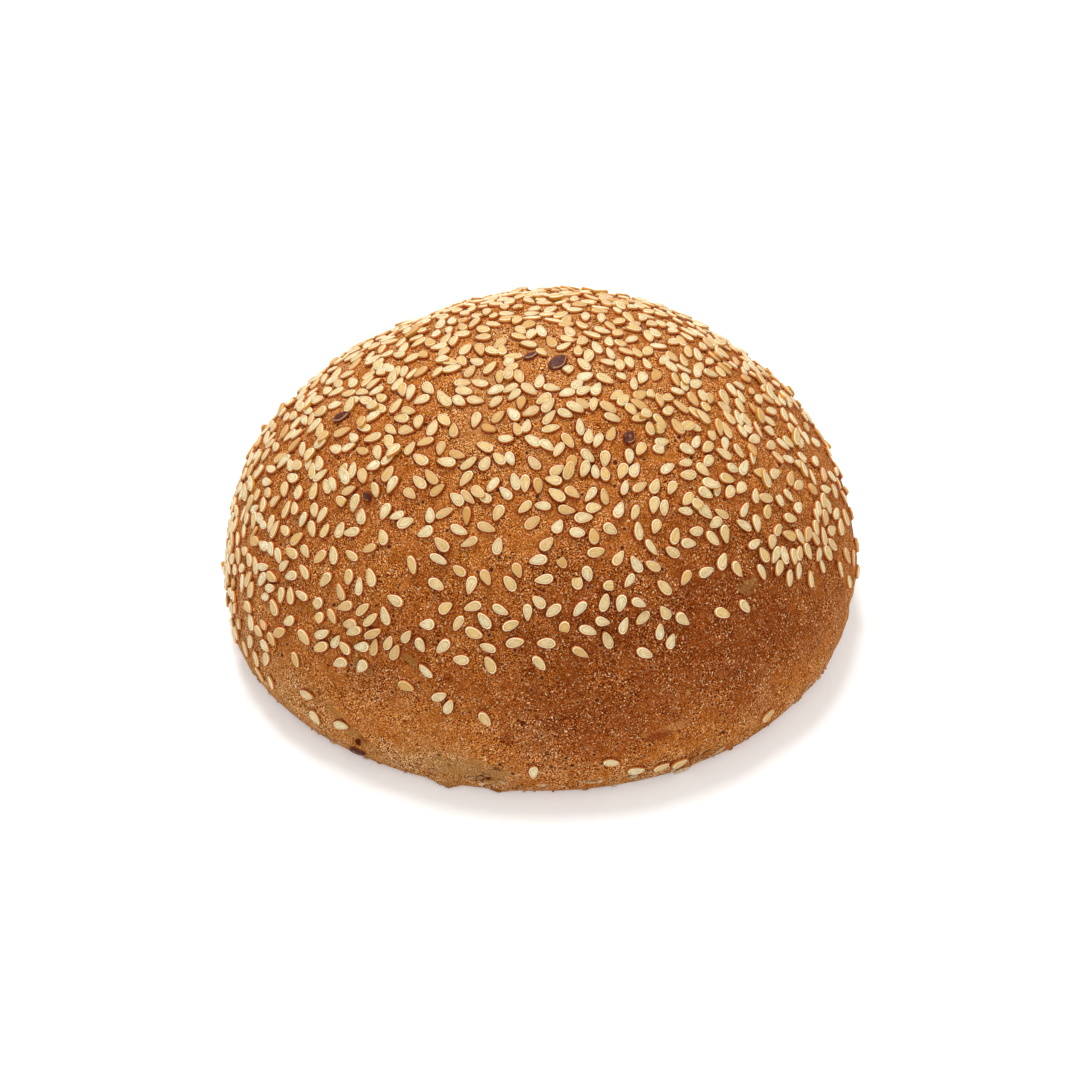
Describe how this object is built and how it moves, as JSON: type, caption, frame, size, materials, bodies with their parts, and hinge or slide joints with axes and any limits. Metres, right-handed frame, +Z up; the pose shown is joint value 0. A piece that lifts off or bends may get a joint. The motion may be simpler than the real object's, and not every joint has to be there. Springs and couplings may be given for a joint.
{
  "type": "multigrain burger bun",
  "caption": "Round domed bread bun with a browned crust strewn with sesame seeds, flat underneath, for a burger or sandwich.",
  "frame": {"origin": "middle of the flat base, where the bun rests", "axes": "+Z up through the crown, -Y towards the pictured side, +X to the pictured right"},
  "size_m": [0.1238, 0.116, 0.0651],
  "materials": {
    "crust": "baked wheat crust, warm brown, darker round the lower front and paler at the rim of the base, dull with a faint satin sheen, finely pitted and flecked with bran",
    "sesame_seed": "hulled sesame seed, ivory to golden, some toasted tan, slightly waxy, with a paler rim",
    "dark_seed": "dark brown linseed and bran, smooth to rough, half sunk in the crust",
    "crumb": "pale torn crumb and flour at the rim of the base, dry and matte"
  },
  "bodies": {
    "root": {"bun": "crust"}
  },
  "joints": []
}
